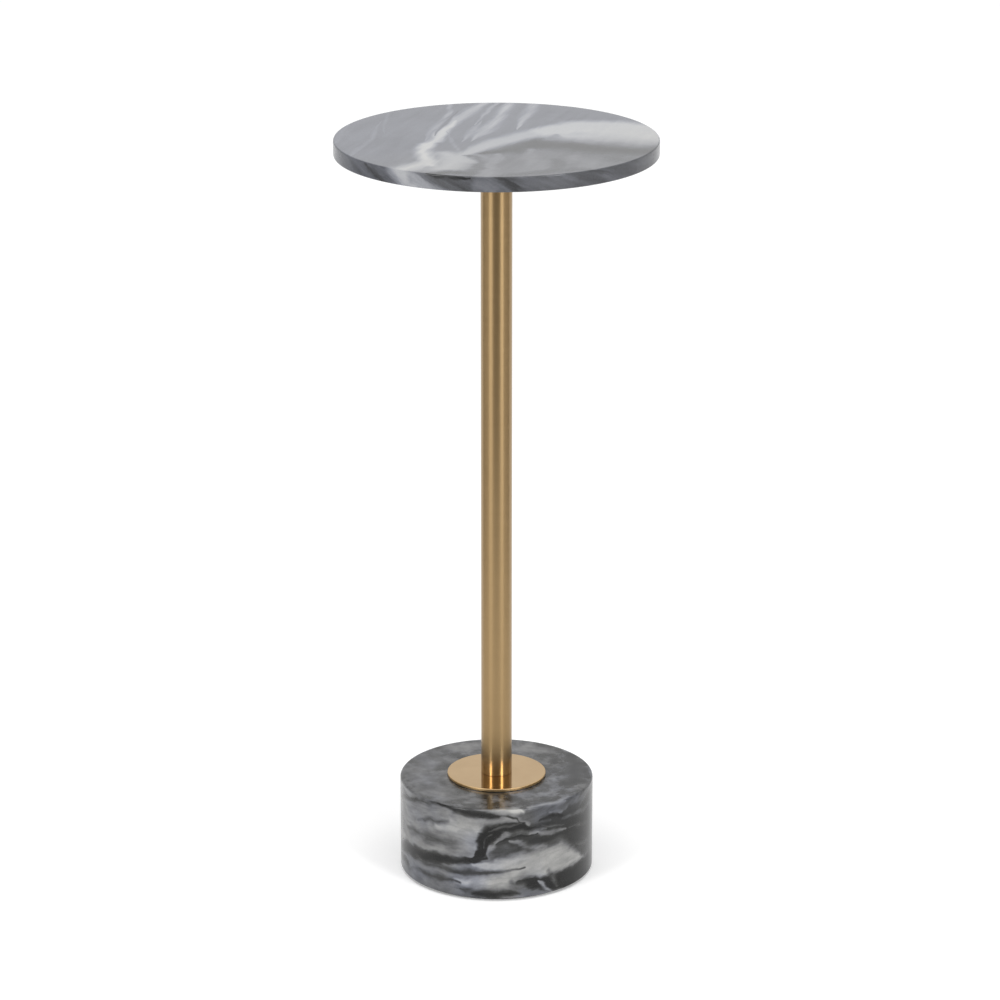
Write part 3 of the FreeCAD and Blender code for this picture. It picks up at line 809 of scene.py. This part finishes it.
screw_circle_radius = 38
screw_low, screw_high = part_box("top_plate_screws")
screws = grown(
    "countersunk_socket_screws",
    socket_screw(screw_low[2] / MM, screw_high[2] / MM),
    ring_tree(),
    count=4,
    radius=screw_circle_radius * MM,
    seed=3,
    material=steel,
)
fit(screws, "top_plate_screws")


def turned_brass():
    """Free-cutting brass off the lathe: yellow and bright, with a fine tooled grain."""
    material, tree, place = new_material("turned_brass")
    tooling_mm = 0.4
    tooling = node(tree, "ShaderNodeTexNoise", {"Vector": place, "Scale": 1 / tooling_mm, "Detail": 2.0})
    gloss = node(tree, "ShaderNodeMapRange", {"Value": tooling.outputs["Fac"], "To Min": 0.25, "To Max": 0.4})
    colour = node(
        tree, "ShaderNodeValToRGB", {"Fac": tooling.outputs["Fac"]}, [(0.3, "#B8964F"), (0.7, "#C6A55E")],
    ).outputs["Color"]
    finish_material(tree, Base_Color=colour, Metallic=1.0, Roughness=gloss.outputs[0])
    return material


dress(nodes["top_inserts"], turned_brass())


# The top: a thin disc of grey marble, sawn and polished, with white calcite veins that run from back to
# front and one broad white band across. Both edges of its rim are eased.

def top_marble(radius, foot, head):
    """Veined grey marble: a blue-grey ground, feathered white veins, and a broad pale cloud with a dark
    underside. The veins dip to the right, so on the rim each one stands a little further along."""
    material, tree, place = new_material("polished_veined_grey_marble")
    cloud_mm = 55
    dip = 2
    x, y, z = node(tree, "ShaderNodeSeparateXYZ", {0: place}).outputs
    depth = node(tree, "ShaderNodeMath", {0: head, 1: z}, operation="SUBTRACT").outputs[0]
    sheared = node(tree, "ShaderNodeMath", {0: depth, 1: -dip, 2: x}, operation="MULTIPLY_ADD").outputs[0]
    level = node(tree, "ShaderNodeCombineXYZ", {"X": sheared, "Y": y}).outputs[0]
    plan = flat(tree, wander(tree, level, (60, 4), (16, 0.8)))
    drift = flat(tree, wander(tree, level, (26, 9), (8, 2)))
    flow = (0, 0, math.radians(-18))
    fray = streaks(tree, plan, flow, (4, 30, 1), low=-1.2, high=1.2)
    faint = streaks(tree, plan, flow, (5, 60, 1), low=0.4, high=1.2)
    clouds = node(tree, "ShaderNodeTexNoise", {
        "Vector": wander(tree, level, (40, 16)), "Scale": 1 / cloud_mm, "Detail": 5.0, "Roughness": 0.55,
    })
    tone = node(
        tree, "ShaderNodeMapRange",
        {"Value": clouds.outputs["Fac"], "From Min": 0.3, "From Max": 0.7, "To Min": 0.44, "To Max": 0.51},
        clamp=False,
    ).outputs[0]

    def paint(points, colour, over=plan, **edge):
        nonlocal tone
        tone = vein(tree, tone, over, fray, points, colour, **edge)

    # the darker field in front on the right, with clouds in it
    paint([(0, -72, 120), (60, -62, 150), (120, -60, 140)], 0.42, over=drift)
    paint([(34, -22, 40), (84, -34, 60), (124, -44, 60)], 0.2, over=drift)
    paint([(-12, -48, 16), (14, -38, 42), (34, -8, 40)], 0.2, over=drift)
    paint([(26, -40, 18), (28, -72, 34), (34, -112, 40)], 0.52, over=drift)
    paint([(60, -62, 24), (70, -86, 44), (72, -112, 44)], 0.5, over=drift)
    paint([(46, -70, 12), (48, -90, 22), (44, -106, 26)], 0.34, over=drift)
    paint([(84, -60, 20), (98, -72, 30)], 0.34, over=drift)
    # the broad white band, thin in front on the left and wide as it runs off to the right
    paint([(52, 10, 56), (84, 14, 84), (124, 0, 96)], 0.86, over=drift)
    paint([(-32, -64, 6), (-12, -32, 26), (4, -10, 36), (22, 10, 38), (44, 29, 42)], 0.82, soft=0.8)
    paint([(40, 25, 38), (66, 38, 58), (92, 36, 64), (130, 18, 70)], 0.9, soft=0.6)
    paint([(46, 12, 6), (47, 4, 14), (48, -8, 18)], 0.4, over=drift, strength=0.4)
    # the white veins from the back edge
    paint([(-6, 132, 14), (-20, 100, 20), (-28, 75, 20), (-36, 48, 18), (-44, 14, 14), (-50, -10, 2)], 0.8)
    paint([(-32, 60, 4), (-41, 22, 16), (-46, 0, 20), (-55, -30, 20)], 0.95)
    paint([(-38, 130, 6), (-38, 90, 8), (-42, 60, 11), (-48, 34, 12), (-56, -10, 1)], 0.72, strength=faint)
    paint([(-31, 96, 1), (-40, 50, 7), (-48, 8, 1)], 0.36, strength=0.8)
    paint([
        (12, 132, 12), (7, 100, 16), (2, 68, 16), (-4, 46, 22), (-10, 26, 21), (-20, -10, 1),
    ], 0.84, strength=faint)
    paint([(-12, 60, 1), (-19, 26, 12), (-27, -12, 1)], 0.7, strength=faint)
    paint([(2, 132, 8), (-8, 92, 9), (-18, 46, 1)], 0.72, strength=faint)
    paint([(31, 132, 14), (27, 100, 16), (22, 70, 14), (16, 30, 1)], 0.82, strength=faint)
    paint([(-38, 24, 1), (-34, -16, 7), (-28, -44, 7)], 0.6, strength=faint)
    # where they meet, and the white cloud down to the front rim
    paint([(-38, -56, 44), (-30, -74, 64), (-38, -96, 60)], 0.84, over=drift)
    paint([(-45, -18, 12), (-43, -36, 22)], 0.46)
    paint([(-54, -20, 20), (-57, -45, 22), (-54, -66, 24), (-50, -88, 14)], 0.96)
    paint([(-52, -76, 24), (-66, -98, 34), (-80, -114, 30)], 0.92)
    paint([(-52, -118, 16), (-36, -111, 24), (-20, -114, 20)], 0.24)
    # the dark line and the pale one beside it, down to the front rim
    paint([(2, -52, 12), (-4, -80, 20), (-8, -124, 22)], 0.56, over=drift)
    paint([(-22, -58, 10), (-12, -76, 18), (-14, -98, 16), (-22, -124, 16)], 0.32, over=drift, strength=0.85)
    paint([(8, -122, 22), (40, -109, 26), (68, -103, 20)], 0.34, over=drift)
    # faint veins on the left
    paint([(-86, 112, 1), (-88, 60, 6), (-88, 16, 1)], 0.56, strength=faint)
    paint([(-91, 60, 1), (-97, 0, 7), (-106, -35, 8), (-118, -90, 1)], 0.57, strength=faint)
    paint([(-117, 48, 4), (-121, 15, 8), (-125, -14, 6)], 0.57, strength=faint)

    side = flat(tree, wander(tree, unrolled(tree, place, radius), (16, 2.5), (4, 0.8)))
    slant = (0, 0, math.radians(-24))
    rim_fray = streaks(tree, side, slant, (12, 2, 1), low=-1.5, high=1.5)
    rim_faint = streaks(tree, side, slant, (34, 3.5, 1), low=0.35, high=1.15)

    def paint_rim(points, colour, **edge):
        nonlocal rim
        placed = [(along, middle + up, width) for along, up, width in points]
        rim = vein(tree, rim, side, rim_fray, placed, colour, **edge)

    # the rim is painted darker than the face: the first stroke, all round, is painted shade, for the darker
    # look of the upright rim beside the polished face, which mirrors the bright surround. Then its front is
    # painted from left to right, with heights from the rim's middle
    rim = tone
    middle = (foot + head) / 2
    half_round = math.pi * radius
    # painted shade: the whole rim a little darker than the face
    paint_rim([(-half_round, 0, 18), (half_round, 0, 18)], 0.27, soft=0.4, strength=rim_faint)
    paint_rim([(-170, 0, 20), (-120, 0, 20), (-96, -4, 14)], 0.3, strength=0.6)
    paint_rim([(-114, 4, 5), (-102, -1, 9), (-92, -7, 7)], 0.2, strength=rim_faint)
    paint_rim([(-84, 8, 24), (-72, 0, 30), (-56, -7, 22)], 0.8)
    paint_rim([(-54, 11, 10), (-36, 4, 14), (-15, -6, 12)], 0.2)
    paint_rim([(-44, 7, 9), (-30, 2, 12), (-16, -4, 8)], 0.27)
    paint_rim([(-68, 0, 12), (-52, -5, 13), (-33, -9, 8)], 0.62)
    paint_rim([(-54, 7, 3), (-44, 5, 6), (-32, 4.5, 6), (-20, 4.5, 2)], 0.08, soft=0.9)
    paint_rim([(-14, 0, 14), (-2, -4, 12)], 0.46, strength=0.8)
    paint_rim([(-2, 10, 9), (8, 2, 12), (20, -7, 9)], 0.2)
    paint_rim([(24, 1, 14), (58, 1, 16)], 0.36, strength=0.6)
    paint_rim([(56, 8, 7), (76, 0, 9), (96, -8, 8)], 0.27)
    paint_rim([(104, 0, 20), (170, 0, 20)], 0.34, strength=0.6)

    rim_start = radius - 1.2
    rim_full = radius - 0.4
    out = node(tree, "ShaderNodeVectorMath", {0: flat(tree, place)}, operation="LENGTH").outputs["Value"]
    on_rim = node(
        tree, "ShaderNodeMapRange", {"Value": out, "From Min": rim_start, "From Max": rim_full},
        interpolation_type="SMOOTHSTEP", clamp=False,
    ).outputs[0]
    tone = node(tree, "ShaderNodeMix", {0: on_rim, 2: tone, 3: rim}).outputs[0]
    streak = streaks(tree, plan, flow, (9, 60, 9), low=-0.035, high=0.035)
    # the grey turns warmer towards the front on the right
    warmer_way = (0.5, -0.87, 0)
    along = node(
        tree, "ShaderNodeVectorMath", {0: drift, 1: warmer_way}, operation="DOT_PRODUCT",
    ).outputs["Value"]
    warmth = node(tree, "ShaderNodeMapRange", {
        "Value": along, "From Min": -10, "From Max": 70, "To Min": 0.0, "To Max": 0.5,
    }).outputs[0]
    finish_marble(tree, place, tone, streak, warmth)
    return material


top_radius, top_foot, top_head = size_of("marble_top")
top_arris = 1
top = turned("polished_marble_top", eased([
    (0, top_foot, 0),
    (top_radius, top_foot, top_arris),
    (top_radius, top_head, top_arris),
    (0, top_head, 0),
]), top_marble(top_radius, top_foot, top_head))
fit(top, "marble_top")


# The studio: a white floor that runs out of sight, a bright surround, a soft light overhead and two tall
# softboxes left and right of the camera. Matt cards, one in front and one at each side, are graduated
# from white to grey and show only in the brass and the polish, where they make the darker bands.

def add_to_scene(name, data):
    """A new object in the scene."""
    thing = bpy.data.objects.new(name, data)
    bpy.context.scene.collection.objects.link(thing)
    return thing


def sheet(name, width, height, material):
    """A flat sheet in the x and y directions of its object."""
    x = width / 2
    y = height / 2
    mesh = bpy.data.meshes.new(name)
    mesh.from_pydata([(-x, -y, 0), (x, -y, 0), (x, y, 0), (-x, y, 0)], [], [(0, 1, 2, 3)])
    mesh.materials.append(material)
    made = add_to_scene(name, mesh)
    return made


def seen_rays(tree):
    """1 for rays that show a thing to the camera, straight or in a mirror or glass, and 0 for light."""
    ray = node(tree, "ShaderNodeLightPath").outputs
    seen = ray["Is Camera Ray"]
    for kind in ("Is Glossy Ray", "Is Transmission Ray"):
        seen = node(tree, "ShaderNodeMath", {0: seen, 1: ray[kind]}, operation="MAXIMUM").outputs[0]
    return seen


def floor_paint():
    """Matt white floor paint, lifted a little for the eye so that it runs into the white surround."""
    material, tree = new_material("white_floor_paint")[:2]
    lift = 0.2
    glow = node(tree, "ShaderNodeMath", {0: seen_rays(tree), 1: lift}, operation="MULTIPLY").outputs[0]
    finish_material(
        tree,
        Base_Color=linear("#F7F7F7"),
        Roughness=1.0,
        Specular_IOR_Level=0.0,
        Emission_Color=linear("#FFFFFF"),
        Emission_Strength=glow,
    )
    return material


floor_size = 40
sheet("floor", floor_size, floor_size, floor_paint())


def stand(thing, azimuth, distance, height):
    """Stands a thing upright at an angle from the camera's side, facing the table."""
    angle = math.radians(azimuth)
    thing.location = (distance * math.sin(angle), -distance * math.cos(angle), height)
    thing.rotation_euler = (math.radians(90), 0, angle)


def graduated(name, across):
    """Matt card, sprayed from white to grey across its width: hex colours at places in metres."""
    material, tree, place = new_material(name)
    x = node(tree, "ShaderNodeSeparateXYZ", {0: place}).outputs["X"]
    low = across[0][0]
    high = across[-1][0]
    share = node(tree, "ShaderNodeMapRange", {
        "Value": x, "From Min": low / MM, "From Max": high / MM,
    }).outputs[0]
    stops = [((position - low) / (high - low), hex_colour) for position, hex_colour in across]
    colour = node(tree, "ShaderNodeValToRGB", {"Fac": share}, stops).outputs["Color"]
    finish_material(tree, Base_Color=colour, Roughness=1.0, Specular_IOR_Level=0.0)
    return material


pale = "#FFFDFA"
middling = "#EFECE8"
dark = "#DCD9D5"
darkest = "#C8C5C1"
front_card = graduated("graduated_card_front", [
    (-0.45, pale), (-0.16, darkest), (0.16, darkest), (0.45, pale),
])
left_card = graduated("graduated_card_left", [(-0.36, dark), (0.02, middling), (0.33, pale)])
right_card = graduated("graduated_card_right", [(-0.33, pale), (-0.02, middling), (0.33, dark)])
for name, azimuth, distance, width, height, finish in (
    ("card_front", 0, 0.85, 0.9, 0.75, front_card),
    ("card_left", -84, 0.65, 0.72, 1.1, left_card),
    ("card_right", 80, 0.65, 0.66, 1.1, right_card),
):
    card = sheet(name, width, height, finish)
    stand(card, azimuth, distance, height / 2)
    card.visible_camera = False
    card.visible_diffuse = False
    card.visible_shadow = False

softbox_width = 0.95
softbox_height = 1.5
softbox_foot = 0.9
softbox_distance = 4.0
for name, azimuth, radiance in (("softbox_left", -43, 14.6), ("softbox_right", 41, 16.8)):
    lamp = bpy.data.lights.new(name, "AREA")
    lamp.shape = "RECTANGLE"
    lamp.size = softbox_width
    lamp.size_y = softbox_height
    lamp.energy = radiance * math.pi * softbox_width * softbox_height
    softbox = add_to_scene(name, lamp)
    stand(softbox, azimuth, softbox_distance, softbox_foot + softbox_height / 2)
    softbox.visible_camera = False

overhead = bpy.data.lights.new("overhead", "SUN")
overhead.energy = 1.6
overhead.angle = math.radians(70)
overhead_lamp = add_to_scene("overhead", overhead)
overhead_lamp.rotation_euler = (math.radians(12), 0, 0)

world = bpy.data.worlds.new("studio")
bpy.context.scene.world = world
world.use_nodes = True
surround = world.node_tree
surround.nodes.clear()
fill_light = 0.35
strength = node(surround, "ShaderNodeMapRange", {
    "Value": seen_rays(surround), "To Min": fill_light, "To Max": 1.0,
}).outputs[0]
background = node(surround, "ShaderNodeBackground", {"Color": (1, 1, 1, 1), "Strength": strength})
node(surround, "ShaderNodeOutputWorld", {"Surface": background.outputs[0]})
bpy.context.scene.view_settings.view_transform = "Standard"


# The camera: a long lens about three metres away and higher than the table, looking down 18 degrees on
# its front, as in the photograph. The shift only puts the table where it stands in the frame.

camera_lens = bpy.data.cameras.new("camera")
camera_lens.lens = 148.5
camera_lens.sensor_width = 36
camera_lens.shift_x = 0.0035
camera_lens.shift_y = -0.012
camera = add_to_scene("camera", camera_lens)
camera.location = (0, -3.1317, 1.3419)
camera.rotation_euler = (math.radians(72), 0, 0)
bpy.context.scene.camera = camera
